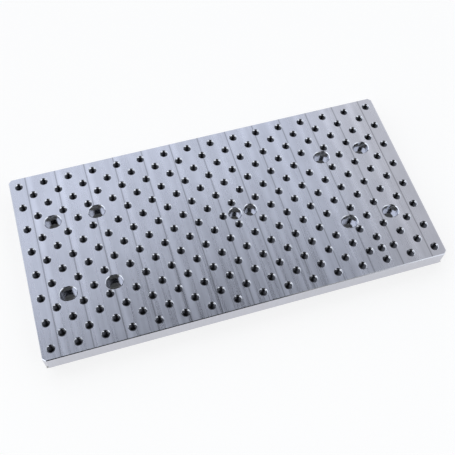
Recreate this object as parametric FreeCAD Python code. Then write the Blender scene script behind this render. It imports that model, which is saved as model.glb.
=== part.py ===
"""Fixture plate: a flat aluminium plate with a staggered grid of tapped holes and ten counterbored hold-down holes.

Millimetres. X runs along the plate, Y across it and Z up. The origin is the middle of the underside.
"""

import FreeCAD, Part
import math
import os

from FreeCAD import Vector

# Tapped hole grid: a main grid, with a second grid of holes in the middles of its squares
pitch = 31.75
column_count = 16
row_count = 8
tap_drill = 7.94
end_margin = 12.0
side_margin = 13.0

# One more tapped hole, on a main column but level with a row of the second grid
extra_hole_index = (13, 6.5)

# Plate
thickness = 25.4
corner_chamfer = 4.0
edge_chamfer = 0.8

# Hold-down screws, which drop into nuts in the table's three tee slots
table_slot_spacing = 50.0
end_inset = 44.2
pair_spacing = 55.5
middle_hole_x = 15.7
middle_hole_spacing = 20.0
screw_clearance = 10.4
head_clearance = 16.0
slot_head_clearance = 17.0
slot_travel = 3.5
head_depth = 15.9
mouth_chamfer = 0.8

# The least metal left between a tapped hole and a hold-down hole
least_web = 1.5

length = (column_count - 1) * pitch + 2 * end_margin
width = (row_count - 1) * pitch + 2 * side_margin
# How far a cutting tool stands clear of the face that it enters or leaves
overrun = 1.0


def grid_point(column, row):
    """Centre of a grid place. Columns count from the left end and rows from the rear side."""
    x = (column - (column_count - 1) / 2) * pitch
    y = ((row_count - 1) / 2 - row) * pitch
    return Vector(x, y, 0)


def grid_points():
    """Every place of the main grid, then the middles of its squares, then the extra hole."""
    main = [grid_point(i, j) for j in range(row_count) for i in range(column_count)]
    middles = [
        grid_point(i + 0.5, j + 0.5) for j in range(row_count - 1) for i in range(column_count - 1)
    ]
    return main + middles + [grid_point(*extra_hole_index)]


def slot_centres():
    """Four hold-down slots near each end, in pairs over the two outer tee slots."""
    outer = length / 2 - end_inset
    inner = outer - pair_spacing
    across = (-table_slot_spacing, table_slot_spacing)
    return [Vector(x, y, 0) for x in (-outer, -inner, inner, outer) for y in across]


def middle_centres():
    """Two round hold-down holes over the middle tee slot."""
    return [Vector(middle_hole_x + k * middle_hole_spacing, 0, 0) for k in range(2)]


def clear_of(point, centre, travel, radius):
    """True where a tapped hole at a point leaves enough metal beside a hold-down hole."""
    along = max(abs(point.x - centre.x) - travel / 2, 0)
    gap = math.hypot(along, point.y - centre.y) - radius - tap_drill / 2
    return gap >= least_web


def tapped_points():
    """The grid places that the hold-down holes leave free."""
    return [
        point
        for point in grid_points()
        if all(clear_of(point, c, slot_travel, slot_head_clearance / 2) for c in slot_centres())
        and all(clear_of(point, c, 0, head_clearance / 2) for c in middle_centres())
    ]


def obround(centre, across, travel, height):
    """Closed outline of a slot along X, with round ends, at a height."""
    radius = across / 2
    half = travel / 2
    left_rear = centre + Vector(-half, radius, height)
    right_rear = centre + Vector(half, radius, height)
    right_tip = centre + Vector(half + radius, 0, height)
    right_front = centre + Vector(half, -radius, height)
    left_front = centre + Vector(-half, -radius, height)
    left_tip = centre + Vector(-half - radius, 0, height)
    edges = [
        Part.LineSegment(left_rear, right_rear),
        Part.Arc(right_rear, right_tip, right_front),
        Part.LineSegment(right_front, left_front),
        Part.Arc(left_front, left_tip, left_rear),
    ]
    return Part.Wire([edge.toShape() for edge in edges])


def slot_tool(centre):
    """Metal taken out by one hold-down slot: screw slot, head slot and chamfered mouth."""
    floor = thickness - head_depth
    screw = Part.Face(obround(centre, screw_clearance, slot_travel, -overrun))
    screw = screw.extrude(Vector(0, 0, thickness))
    head = Part.Face(obround(centre, slot_head_clearance, slot_travel, floor))
    head = head.extrude(Vector(0, 0, head_depth + overrun))
    below = obround(centre, slot_head_clearance, slot_travel, thickness - mouth_chamfer)
    rim = slot_head_clearance + 2 * mouth_chamfer
    above = obround(centre, rim, slot_travel, thickness)
    return screw.fuse([head, Part.makeLoft([below, above], True, True)])


def round_tool(centre):
    """Metal taken out by one round hold-down hole: screw hole, head hole and chamfered mouth."""
    floor = Vector(centre.x, centre.y, thickness - head_depth)
    screw = Part.makeCylinder(screw_clearance / 2, thickness, centre - Vector(0, 0, overrun))
    head = Part.makeCylinder(head_clearance / 2, head_depth + overrun, floor)
    radius = head_clearance / 2
    mouth_base = Vector(centre.x, centre.y, thickness - mouth_chamfer)
    mouth = Part.makeCone(radius, radius + mouth_chamfer, mouth_chamfer, mouth_base)
    return screw.fuse([head, mouth])


def tapped_tool(point):
    """Tap drill hole, right through. The thread and its lead-in are fine detail, left out here."""
    return Part.makeCylinder(tap_drill / 2, thickness + 2 * overrun, point - Vector(0, 0, overrun))


def blank():
    """The plate before drilling, with its upright corners cut off and every long edge broken."""
    x = length / 2
    y = width / 2
    cut = corner_chamfer
    corners = []
    for side_x, side_y in ((1, 1), (-1, 1), (-1, -1), (1, -1)):
        along = Vector(side_x * (x - cut), side_y * y, 0)
        down = Vector(side_x * x, side_y * (y - cut), 0)
        corners += [down, along] if side_x == side_y else [along, down]
    outline = Part.makePolygon(corners + corners[:1])
    slab = Part.Face(outline).extrude(Vector(0, 0, thickness))
    flat_edges = [edge for edge in slab.Edges if edge.BoundBox.ZLength < thickness / 2]
    return slab.makeChamfer(edge_chamfer, flat_edges)


def fixture_plate():
    """The one machined piece."""
    tools = [tapped_tool(point) for point in tapped_points()]
    tools += [slot_tool(centre) for centre in slot_centres()]
    tools += [round_tool(centre) for centre in middle_centres()]
    return blank().cut(tools)


os.makedirs("parts", exist_ok=True)
plate = fixture_plate()
plate.exportStep("parts/fixture_plate.step")
print("tapped holes", len(tapped_points()))
print("plate", round(length, 2), round(width, 2), thickness, "valid", plate.isValid())
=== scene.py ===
"""Fixture plate: milled aluminium with threaded holes, on a pale floor in soft studio light."""

import math

import bpy
import numpy as np
from mathutils import Matrix, Vector

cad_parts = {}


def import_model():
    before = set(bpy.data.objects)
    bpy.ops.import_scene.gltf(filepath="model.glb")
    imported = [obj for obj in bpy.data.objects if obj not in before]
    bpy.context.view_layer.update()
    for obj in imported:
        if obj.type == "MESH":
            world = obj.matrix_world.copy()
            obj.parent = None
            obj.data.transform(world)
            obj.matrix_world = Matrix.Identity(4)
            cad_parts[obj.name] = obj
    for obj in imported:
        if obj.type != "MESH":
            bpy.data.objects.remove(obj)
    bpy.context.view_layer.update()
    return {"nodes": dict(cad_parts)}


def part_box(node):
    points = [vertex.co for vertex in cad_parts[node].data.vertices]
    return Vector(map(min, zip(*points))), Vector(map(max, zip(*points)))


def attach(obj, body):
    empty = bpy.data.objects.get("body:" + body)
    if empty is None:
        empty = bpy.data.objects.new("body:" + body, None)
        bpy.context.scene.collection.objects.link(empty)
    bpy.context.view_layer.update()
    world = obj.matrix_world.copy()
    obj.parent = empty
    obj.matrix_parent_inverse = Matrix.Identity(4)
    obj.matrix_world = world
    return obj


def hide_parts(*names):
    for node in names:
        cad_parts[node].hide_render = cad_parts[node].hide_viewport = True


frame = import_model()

MM = 0.001
LOW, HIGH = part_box("fixture_plate")
TOP = HIGH.z

# Tapped holes, as in the solid: a main grid, a second one in the middles of its squares, and one extra hole
PITCH = 31.75 * MM
COLUMNS = 16
ROWS = 8
EXTRA_HOLE = (13, 6.5)
MINOR_RADIUS = 3.97 * MM

# Hold-down holes, as in the solid: they take the grid places that would leave too little metal beside them
OUTER_X = HIGH.x - 44.2 * MM
INNER_X = OUTER_X - 55.5 * MM
TABLE_SLOT_Y = 50.0 * MM
SLOT_ROWS = (-TABLE_SLOT_Y, TABLE_SLOT_Y)
SLOT_CENTRES = [(x, y) for x in (-OUTER_X, -INNER_X, INNER_X, OUTER_X) for y in SLOT_ROWS]
SLOT_RECESS_RADIUS = 8.5 * MM
SLOT_HALF_TRAVEL = 1.75 * MM
MIDDLE_CENTRES = [(15.7 * MM, 0.0), (35.7 * MM, 0.0)]
MIDDLE_RECESS_RADIUS = 8.0 * MM
LEAST_WEB = 1.5 * MM

# 3/8-16 thread, with a countersink at each mouth
MAJOR_RADIUS = 4.7625 * MM
THREAD_PITCH = 25.4 / 16 * MM
CREST_HALF = THREAD_PITCH / 8
FLANK = math.tan(math.radians(30))
MOUTH_RADIUS = 5.2 * MM
LEAD = MOUTH_RADIUS - MAJOR_RADIUS
COUNTERSUNK = MOUTH_RADIUS - MINOR_RADIUS
TURN_STEPS = 24
# How far a thread's foot is sunk into the hole's wall, and how far its ends keep from the plate's faces
BURIED = 0.1 * MM
# How far the tapping tools stand clear of the plate's faces
OVERRUN = 1.0 * MM

# How upright a normal is on the flat faces, and at least on the chamfers
FLAT = 0.99
SLOPING = 0.1
# The plate's sides and cut corners lie this near to the edge of its box
RIM = 4.5 * MM
# Edges sharper than this aren't smoothed over
SHARP_ANGLE = math.radians(25)

# Face milling: the cutter's passes run across the plate, side by side
PASS_STEP = 38.23 * MM
FIRST_PASS_EDGE = -228.6 * MM
CUTTER_RADIUS = 25.4 * MM
FEED = 0.9 * MM
# Where the warmer margin at the right end begins
WARM_FROM = 100.0 * MM


class Graph:
    """Short ways to add shader nodes to one tree."""

    def __init__(self, tree):
        self.tree = tree
        self.tree.nodes.clear()

    def add(self, kind, inputs=None, **settings):
        node = self.tree.nodes.new(kind)
        for name, value in settings.items():
            setattr(node, name, value)
        for name, value in (inputs or {}).items():
            self.feed(node.inputs[name], value)
        return node

    def feed(self, socket, value):
        if isinstance(value, bpy.types.NodeSocket):
            self.tree.links.new(value, socket)
        else:
            socket.default_value = value

    def math(self, operation, *values):
        node = self.add("ShaderNodeMath", operation=operation)
        for socket, value in zip(node.inputs, values):
            self.feed(socket, value)
        return node.outputs[0]

    def vector(self, operation, *values):
        node = self.add("ShaderNodeVectorMath", operation=operation)
        for socket, value in zip(node.inputs, values):
            self.feed(socket, value)
        return node.outputs["Value" if operation == "DOT_PRODUCT" else "Vector"]

    def ramp(self, value, low, high, start=0.0, end=1.0):
        """A smooth step from start to end, while the value goes from low to high."""
        limits = {"From Min": low, "From Max": high, "To Min": start, "To Max": end}
        node = self.add("ShaderNodeMapRange", {"Value": value, **limits}, interpolation_type="SMOOTHSTEP")
        return node.outputs["Result"]

    def split(self, vector):
        return self.add("ShaderNodeSeparateXYZ", {"Vector": vector}).outputs

    def join(self, x, y, z):
        return self.add("ShaderNodeCombineXYZ", {"X": x, "Y": y, "Z": z}).outputs[0]

    def noise(self, vector, scale, detail=2.0):
        inputs = {"Vector": vector, "Scale": scale, "Detail": detail}
        return self.add("ShaderNodeTexNoise", inputs).outputs["Fac"]

    def bump(self, height, strength, distance):
        inputs = {"Height": height, "Strength": strength, "Distance": distance}
        return self.add("ShaderNodeBump", inputs).outputs["Normal"]

    def position(self):
        return self.add("ShaderNodeTexCoord").outputs["Object"]


# ---------------------------------------------------------------- materials

ALUMINIUM = (0.590, 0.598, 0.660)
DULL_ALUMINIUM = (0.595, 0.575, 0.590)
FRESH_ALUMINIUM = (0.80, 0.81, 0.84)


def metal(name):
    """A new metal material, its node graph and its shader node."""
    material = bpy.data.materials.new(name)
    material.use_nodes = True
    graph = Graph(material.node_tree)
    shader = graph.add("ShaderNodeBsdfPrincipled", {"Metallic": 1.0, "Roughness": 0.3})
    graph.add("ShaderNodeOutputMaterial", {"Surface": shader.outputs[0]})
    return material, graph, shader


def scaled(graph, factor, colour=ALUMINIUM):
    """A metal colour times a factor."""
    node = graph.add("ShaderNodeVectorMath", {0: colour, "Scale": factor}, operation="SCALE")
    return node.outputs["Vector"]


def painted_sheen_band(graph, across, middle, reach, strength):
    """A soft band of painted sheen along a pass of the cutter: its strength in the middle, and 0 beyond its
    reach.
    """
    distance = graph.math("ABSOLUTE", graph.math("SUBTRACT", across, middle))
    return graph.math("MULTIPLY", graph.ramp(distance, 0.0, reach, 1.0, 0.0), strength)


def pass_painted_sheen(graph, x, across):
    """The painted sheen bands of each pass, which move across the cutter's width from the left end to the
    right.
    """
    m = graph.math
    rightward = graph.ramp(x, LOW.x, HIGH.x)
    early = painted_sheen_band(graph, across, -0.38, 0.16, m("SUBTRACT", 0.17, m("MULTIPLY", rightward, 0.15)))
    late = painted_sheen_band(graph, across, 0.12, 0.2, m("ADD", 0.03, m("MULTIPLY", rightward, 0.14)))
    last = painted_sheen_band(graph, across, 0.38, 0.05, 0.05)
    return m("ADD", m("ADD", early, late), m("ADD", last, 0.97))


def feed_normal(graph, place, across, number):
    """Which way the surface faces: arcs of feed marks tip it to and fro along the cutter's radius."""
    m = graph.math
    x, y, _ = graph.split(place)
    u = m("MULTIPLY", across, PASS_STEP)
    reach = m("SQRT", m("SUBTRACT", CUTTER_RADIUS**2, m("MULTIPLY", u, u)))
    wander = m("MULTIPLY", graph.noise(place, 60.0), 1.5 * MM)
    arc = m("ADD", m("SUBTRACT", y, reach), wander)
    wave = m("SINE", m("MULTIPLY", arc, 2 * math.pi / FEED))
    uneven = graph.noise(graph.join(m("MULTIPLY", x, 40.0), m("MULTIPLY", arc, 900.0), number), 1.0)
    slope = m("MULTIPLY", wave, graph.ramp(uneven, 0.3, 0.7, 0.015, 0.05))
    tip_x = m("MULTIPLY", slope, m("DIVIDE", u, -CUTTER_RADIUS))
    tip_y = m("MULTIPLY", slope, m("DIVIDE", reach, -CUTTER_RADIUS))
    normal = graph.add("ShaderNodeNewGeometry").outputs["Normal"]
    return graph.vector("NORMALIZE", graph.vector("ADD", normal, graph.join(tip_x, tip_y, 0.0)))


def face_milled():
    """The flat faces: passes of a face mill, with arcs of feed marks, painted sheen bands and a darker seam
    between each two.
    """
    material, graph, shader = metal("face_milled")
    m = graph.math
    place = graph.position()
    x, y, _ = graph.split(place)
    # The number of a place's pass, and how far across it the place lies, from -0.5 to 0.5
    along = m("DIVIDE", m("SUBTRACT", x, FIRST_PASS_EDGE), PASS_STEP)
    number = m("FLOOR", along)
    across = m("SUBTRACT", m("SUBTRACT", along, number), 0.5)
    seam = graph.ramp(m("SUBTRACT", 0.5, m("ABSOLUTE", across)), 0.0, 0.035, 0.60, 1.0)
    streak = graph.noise(graph.join(m("MULTIPLY", x, 260.0), m("MULTIPLY", y, 5.0), number), 1.0, 3.0)
    streaks = graph.ramp(streak, 0.25, 0.75, 0.96, 1.04)
    patches = graph.ramp(graph.noise(place, 22.0, 3.0), 0.3, 0.7, 0.95, 1.04)
    # Painted sheen: the lighter bands where each pass's feed marks would catch the light are multiplied
    # into the colour
    seamed_sheen = m("MULTIPLY", seam, pass_painted_sheen(graph, x, across))
    shade = m("MULTIPLY", seamed_sheen, m("MULTIPLY", streaks, patches))
    # The right end is warmer and duller
    colour = graph.add("ShaderNodeMix", data_type="RGBA")
    graph.feed(colour.inputs["Factor"], graph.ramp(x, WARM_FROM, HIGH.x))
    graph.feed(colour.inputs["A"], scaled(graph, shade))
    graph.feed(colour.inputs["B"], scaled(graph, shade, DULL_ALUMINIUM))
    graph.feed(shader.inputs["Base Color"], colour.outputs["Result"])
    graph.feed(shader.inputs["Roughness"], graph.ramp(streak, 0.3, 0.7, 0.25, 0.34))
    graph.feed(shader.inputs["Normal"], feed_normal(graph, place, across, number))
    return material


def edge_milled():
    """The plate's sides: fine upright marks of an end mill."""
    material, graph, shader = metal("edge_milled")
    stretched = graph.vector("MULTIPLY", graph.position(), (500.0, 500.0, 12.0))
    grain = graph.noise(stretched, 1.0, 3.0)
    graph.feed(shader.inputs["Base Color"], scaled(graph, graph.ramp(grain, 0.25, 0.75, 0.93, 1.04)))
    graph.feed(shader.inputs["Roughness"], graph.ramp(grain, 0.3, 0.7, 0.3, 0.4))
    graph.feed(shader.inputs["Normal"], graph.bump(grain, 0.15, 0.1 * MM))
    return material


def fresh_cut(name, colour):
    """Hold-down holes and chamfers: bright tool cuts with rings of fine marks."""
    material, graph, shader = metal(name)
    stretched = graph.vector("MULTIPLY", graph.position(), (40.0, 40.0, 2600.0))
    rings = graph.noise(stretched, 1.0)
    graph.feed(shader.inputs["Base Color"], scaled(graph, graph.ramp(rings, 0.25, 0.75, 0.9, 1.05), colour))
    graph.feed(shader.inputs["Roughness"], graph.ramp(rings, 0.3, 0.7, 0.10, 0.18))
    graph.feed(shader.inputs["Normal"], graph.bump(rings, 0.2, 0.05 * MM))
    return material


def tapped_painted_shade():
    """Threads: torn a little by the tap, and darkened as painted shade of the deep, narrow holes."""
    material, graph, shader = metal("tapped_painted_shade")
    grain = graph.noise(graph.position(), 900.0)
    # Painted shade: the colour is only 12 to 22 per cent of the plate's aluminium
    graph.feed(shader.inputs["Base Color"], scaled(graph, graph.ramp(grain, 0.25, 0.75, 0.12, 0.22)))
    return material


# ---------------------------------------------------------------- plate and threads


def new_object(name, data):
    """An object in the scene that shows a mesh, a camera or a lamp."""
    piece = bpy.data.objects.new(name, data)
    bpy.context.scene.collection.objects.link(piece)
    return piece


def leaves_metal(x, y, centre, half_travel, recess_radius):
    """True where a tapped hole leaves enough metal beside a hold-down hole."""
    along = max(abs(x - centre[0]) - half_travel, 0)
    web = math.hypot(along, y - centre[1]) - recess_radius - MINOR_RADIUS
    return web >= LEAST_WEB


def grid_holes():
    """Centres of the tapped holes, by row from the rear: {row: [(x, y), ...]}."""
    places = [(i, j) for j in range(ROWS) for i in range(COLUMNS)]
    places += [(i + 0.5, j + 0.5) for j in range(ROWS - 1) for i in range(COLUMNS - 1)]
    hold_downs = [(centre, SLOT_HALF_TRAVEL, SLOT_RECESS_RADIUS) for centre in SLOT_CENTRES]
    hold_downs += [(centre, 0, MIDDLE_RECESS_RADIUS) for centre in MIDDLE_CENTRES]
    rows = {}
    for i, j in places + [EXTRA_HOLE]:
        x = (i - (COLUMNS - 1) / 2) * PITCH
        y = ((ROWS - 1) / 2 - j) * PITCH
        if all(leaves_metal(x, y, *hold_down) for hold_down in hold_downs):
            rows.setdefault(j, []).append((x, y))
    return rows


def turned(profile, x, y, segments):
    """Vertices and faces of a closed solid of revolution about an upright axis."""
    turns = np.arange(segments) * 2 * math.pi / segments
    rings = [np.c_[x + r * np.cos(turns), y + r * np.sin(turns), np.full(segments, z)] for r, z in profile]
    faces = []
    last = (len(profile) - 1) * segments
    for near in range(0, last, segments):
        far = near + segments
        for s in range(segments):
            t = (s + 1) % segments
            faces.append((near + s, near + t, far + t, far + s))
    faces.append(tuple(reversed(range(segments))))
    faces.append(tuple(range(last, last + segments)))
    return np.vstack(rings), faces


def merged_mesh(name, solids):
    """One mesh of many separate solids."""
    vertices = []
    faces = []
    count = 0
    for points, polygons in solids:
        vertices.append(points)
        faces += [tuple(index + count for index in polygon) for polygon in polygons]
        count += len(points)
    mesh = bpy.data.meshes.new(name)
    mesh.from_pydata(np.vstack(vertices).tolist(), [], faces)
    mesh.update()
    return mesh


def tapping_tools(holes):
    """What the tap and the countersinks take out of the plate at every tapped hole."""
    profile = [
        (MOUTH_RADIUS + OVERRUN, -OVERRUN),
        (MAJOR_RADIUS, LEAD),
        (MAJOR_RADIUS, TOP - LEAD),
        (MOUTH_RADIUS + OVERRUN, TOP + OVERRUN),
    ]
    return merged_mesh("tapping_tools", [turned(profile, x, y, 2 * TURN_STEPS) for x, y in holes])


def open_holes(piece, holes):
    """Opens a piece's tapped holes to the thread's outer diameter and countersinks them."""
    weld = piece.modifiers.new("weld", "WELD")
    weld.merge_threshold = 0.002 * MM
    tools = new_object("tapping_tools", tapping_tools(holes))
    cut = piece.modifiers.new("tap", "BOOLEAN")
    cut.operation = "DIFFERENCE"
    cut.solver = "MANIFOLD"
    cut.object = tools
    bpy.context.view_layer.update()
    depsgraph = bpy.context.evaluated_depsgraph_get()
    opened = bpy.data.meshes.new_from_object(piece.evaluated_get(depsgraph))
    # A new mesh leaves behind the solid's own shading normals, which no longer suit it
    mesh = bpy.data.meshes.new(piece.name)
    mesh.from_pydata([v.co for v in opened.vertices], [], [tuple(p.vertices) for p in opened.polygons])
    piece.modifiers.clear()
    piece.data = mesh
    bpy.data.meshes.remove(opened)
    bpy.data.objects.remove(tools)


def finish_of(polygon, holes):
    """0 for the flat faces, 1 sides, 2 hold-down walls and chamfers, 3 tapped holes and 4 recess floors."""
    centre = polygon.center
    upright = abs(polygon.normal.z)
    if upright > FLAT:
        return 4 if MM < centre.z < TOP - MM else 0
    if upright > SLOPING:
        return 2
    if abs(centre.x) > HIGH.x - RIM or abs(centre.y) > HIGH.y - RIM:
        return 1
    nearest = min(math.hypot(centre.x - x, centre.y - y) for x, y in holes)
    return 3 if nearest < MOUTH_RADIUS else 2


def plate(holes, materials):
    """The solid with its tapped holes opened and every face given its finish."""
    source = frame["nodes"]["fixture_plate"]
    piece = new_object("fixture_plate_milled", source.data.copy())
    piece.data.materials.clear()
    open_holes(piece, holes)
    mesh = piece.data
    for material in materials:
        mesh.materials.append(material)
    for polygon in mesh.polygons:
        polygon.material_index = finish_of(polygon, holes)
        polygon.use_smooth = polygon.material_index in (2, 3)
    mesh.set_sharp_from_angle(angle=SHARP_ANGLE)
    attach(piece, "root")
    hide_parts("fixture_plate")


def crest_radius(z):
    """How far a thread's crest stands from the axis at a height: the countersinks trim its ends."""
    depth = np.minimum(z, TOP - z)
    return np.maximum(MINOR_RADIUS, MOUTH_RADIUS - depth)


def thread_ridge():
    """A right-hand thread about the Z axis: a closed ridge's vertices, faces and crest faces."""
    steps = int((TOP - 2 * LEAD) / THREAD_PITCH * TURN_STEPS)
    angle = np.arange(steps + 1) * 2 * math.pi / TURN_STEPS
    middle = LEAD + angle / (2 * math.pi) * THREAD_PITCH
    foot_half = CREST_HALF + (MAJOR_RADIUS - MINOR_RADIUS) * FLANK
    crest_half = CREST_HALF + (crest_radius(middle) - MINOR_RADIUS) * FLANK
    edges = []
    for side in (-1, 1):
        foot = (np.full_like(middle, MAJOR_RADIUS + BURIED), middle + side * foot_half)
        level = middle + side * crest_half
        crest = (np.minimum(crest_radius(level), MAJOR_RADIUS + BURIED / 2), level)
        edges += [foot, crest] if side < 0 else [crest, foot]
    points = []
    for radius, level in edges:
        kept_in = np.clip(level, BURIED, TOP - BURIED)
        points.append(np.c_[radius * np.cos(angle), radius * np.sin(angle), kept_in])
    vertices = np.stack(points, 1).reshape(-1, 3)
    # Each step has four faces: the lower flank, the crest, the upper flank and the foot
    faces = [(0, 1, 2, 3)]
    crests = set()
    for s in range(steps):
        crests.add(len(faces) + 1)
        for k in range(4):
            a = 4 * s + k
            b = 4 * s + (k + 1) % 4
            faces.append((a, a + 4, b + 4, b))
    end = 4 * steps
    faces.append((end + 3, end + 2, end + 1, end))
    return vertices, faces, crests


def threads(rows, dark, bright):
    """The threads, as one piece a row of holes. Crests in a countersink are as bright as it is."""
    ridge, faces, crests = thread_ridge()
    for number, (_, holes) in enumerate(sorted(rows.items()), 1):
        solids = [(ridge + np.array((x, y, 0.0)), faces) for x, y in holes]
        mesh = merged_mesh(f"threads_row_{number:02d}", solids)
        mesh.materials.append(dark)
        mesh.materials.append(bright)
        for polygon in mesh.polygons:
            polygon.use_smooth = True
            in_thread = COUNTERSUNK <= polygon.center.z <= TOP - COUNTERSUNK
            is_crest = polygon.index % len(faces) in crests
            polygon.material_index = 1 if is_crest and not in_thread else 0
        mesh.set_sharp_from_angle(angle=SHARP_ANGLE)
        piece = new_object(mesh.name, mesh)
        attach(piece, "root")


# ---------------------------------------------------------------- studio

CAMERA_AZIMUTH = math.radians(18.20)
CAMERA_ELEVATION = math.radians(61.78)
CAMERA_ROLL = math.radians(-2.13)
CAMERA_DISTANCE = 0.8810
CAMERA_TARGET = Vector((-0.0246, -0.0096, TOP))
CAMERA_LENS = 56.19
CAMERA_SHIFT = 0.0462

# Dark ovals in the surroundings: middle to the side, middle ahead, reach to the side and reach ahead
OVERHEAD_OVAL = (0.08, -0.05, 0.38, 0.52)
CAMERA_OVAL = (0.03, -0.95, 0.66, 0.55)
OVAL_LIGHT = 0.02
STUDIO_LIGHT = (0.885, 0.94, 1.04, 1.0)
WHITE = (1.0, 1.0, 1.0, 1.0)

LAMP_SIZE = 1.1
LAMP_WATTS = 1.1

FLOOR_REACH = 6.0
FLOOR_GAP = 0.02 * MM
FLOOR_COLOUR = (0.33, 0.32, 0.30, 1.0)
FLOOR_GLOW = 0.75
# A ray shorter than this runs between the plate's underside and the floor
TOUCHING = 0.5 * MM


def camera():
    """A camera above the plate's front left corner."""
    flat = math.cos(CAMERA_ELEVATION)
    ahead_x = math.sin(CAMERA_AZIMUTH) * flat
    ahead_y = math.cos(CAMERA_AZIMUTH) * flat
    ahead = Vector((ahead_x, ahead_y, -math.sin(CAMERA_ELEVATION)))
    level = ahead.cross(Vector((0, 0, 1))).normalized()
    right = level * math.cos(CAMERA_ROLL) + ahead.cross(level) * math.sin(CAMERA_ROLL)
    up = right.cross(ahead)
    data = bpy.data.cameras.new("camera")
    data.sensor_width = 36.0
    data.lens = CAMERA_LENS
    data.shift_x = CAMERA_SHIFT
    eye = new_object("camera", data)
    turn = Matrix((right, up, -ahead)).transposed().to_4x4()
    eye.matrix_world = Matrix.Translation(CAMERA_TARGET - ahead * CAMERA_DISTANCE) @ turn
    bpy.context.scene.camera = eye


def clear_of(graph, side, ahead, oval):
    """Brightness of the surroundings round a dark oval: hardly any in its middle, and 1 outside it."""
    m = graph.math
    side_middle, ahead_middle, side_reach, ahead_reach = oval
    across = m("DIVIDE", m("SUBTRACT", side, side_middle), side_reach)
    along = m("DIVIDE", m("SUBTRACT", ahead, ahead_middle), ahead_reach)
    outward = m("ADD", m("MULTIPLY", across, across), m("MULTIPLY", along, along))
    return graph.ramp(outward, 0.8, 1.25, OVAL_LIGHT, 1.0)


def world():
    """White surroundings, with the studio's dark places overhead and behind the camera."""
    surroundings = bpy.data.worlds.new("studio")
    surroundings.use_nodes = True
    bpy.context.scene.world = surroundings
    graph = Graph(surroundings.node_tree)
    m = graph.math
    sine = math.sin(CAMERA_AZIMUTH)
    cosine = math.cos(CAMERA_AZIMUTH)
    direction = graph.vector("NORMALIZE", graph.add("ShaderNodeTexCoord").outputs["Generated"])
    side = graph.vector("DOT_PRODUCT", direction, (cosine, -sine, 0.0))
    ahead = graph.vector("DOT_PRODUCT", direction, (sine, cosine, 0.0))
    overhead = clear_of(graph, side, ahead, OVERHEAD_OVAL)
    by_camera = clear_of(graph, side, ahead, CAMERA_OVAL)
    # The left of the studio is the brighter side
    evenness = m("MINIMUM", m("SUBTRACT", 1.15, m("MULTIPLY", side, 0.3)), 1.22)
    brightness = m("MULTIPLY", m("MULTIPLY", overhead, by_camera), evenness)
    rays = graph.add("ShaderNodeLightPath").outputs
    plain = m("MAXIMUM", rays["Is Camera Ray"], rays["Is Transmission Ray"])
    light = graph.add("ShaderNodeBackground", {"Color": STUDIO_LIGHT, "Strength": brightness})
    white = graph.add("ShaderNodeBackground", {"Color": WHITE, "Strength": 1.0})
    both = graph.add("ShaderNodeMixShader", {0: plain, 1: light.outputs[0], 2: white.outputs[0]})
    graph.add("ShaderNodeOutputWorld", {"Surface": both.outputs[0]})


def softbox(name, place):
    """A square lamp that faces the plate."""
    data = bpy.data.lights.new(name, "AREA")
    data.size = LAMP_SIZE
    data.energy = LAMP_WATTS
    lamp = new_object(name, data)
    lamp.location = place
    lamp.rotation_euler = (-Vector(place)).to_track_quat("-Z", "Y").to_euler()


def floor_glow(graph):
    """How strongly the floor glows for the camera and the metal. Hardly any light gets under the plate."""
    m = graph.math
    x, y, _ = graph.split(graph.position())
    past_x = m("SUBTRACT", m("ABSOLUTE", x), HIGH.x)
    past_y = m("SUBTRACT", m("ABSOLUTE", y), HIGH.y)
    uncovered = graph.ramp(m("MAXIMUM", past_x, past_y), -2 * MM, 0.0, 0.03, 1.0)
    rays = graph.add("ShaderNodeLightPath").outputs
    seen = m("MAXIMUM", rays["Is Camera Ray"], rays["Is Glossy Ray"])
    seen = m("MAXIMUM", seen, rays["Is Transmission Ray"])
    return m("MULTIPLY", m("MULTIPLY", seen, uncovered), FLOOR_GLOW)


def floor_material():
    """Pale and matt, but clear from below, and clear to the underside that rests on it."""
    material = bpy.data.materials.new("floor")
    material.use_nodes = True
    graph = Graph(material.node_tree)
    matt = graph.add("ShaderNodeBsdfDiffuse", {"Color": FLOOR_COLOUR})
    glow = graph.add("ShaderNodeEmission", {"Color": WHITE, "Strength": floor_glow(graph)})
    both = graph.add("ShaderNodeAddShader", {0: matt.outputs[0], 1: glow.outputs[0]})
    below = graph.add("ShaderNodeNewGeometry").outputs["Backfacing"]
    ray_length = graph.add("ShaderNodeLightPath").outputs["Ray Length"]
    see_through = graph.math("MAXIMUM", below, graph.math("LESS_THAN", ray_length, TOUCHING))
    clear = graph.add("ShaderNodeBsdfTransparent")
    surface = graph.add("ShaderNodeMixShader", {0: see_through, 1: both.outputs[0], 2: clear.outputs[0]})
    graph.add("ShaderNodeOutputMaterial", {"Surface": surface.outputs[0]})
    return material


def floor():
    """A plain floor that the camera and the metal see as white, with the plate's shadow on it."""
    corners = [(x * FLOOR_REACH, y * FLOOR_REACH, 0) for x, y in ((-1, -1), (1, -1), (1, 1), (-1, 1))]
    mesh = bpy.data.meshes.new("floor")
    mesh.from_pydata(corners, [], [(0, 1, 2, 3)])
    mesh.materials.append(floor_material())
    ground = new_object("floor", mesh)
    ground.location.z = LOW.z - FLOOR_GAP


bpy.context.scene.view_settings.view_transform = "Standard"
tapped = grid_holes()
cut_bright = fresh_cut("cut_bright", FRESH_ALUMINIUM)
# The threads and the tapped walls get a darkened aluminium: painted shade of the deep holes
thread_painted_shade = tapped_painted_shade()
# In the order of finish_of's numbers
finishes = [face_milled(), edge_milled(), cut_bright, thread_painted_shade, fresh_cut("recess_floor", ALUMINIUM)]
plate([hole for row in tapped.values() for hole in row], finishes)
threads(tapped, thread_painted_shade, cut_bright)
camera()
world()
softbox("softbox_left", (-1.0, -0.56, 0.49))
softbox("softbox_right", (0.80, -0.97, 0.38))
floor()
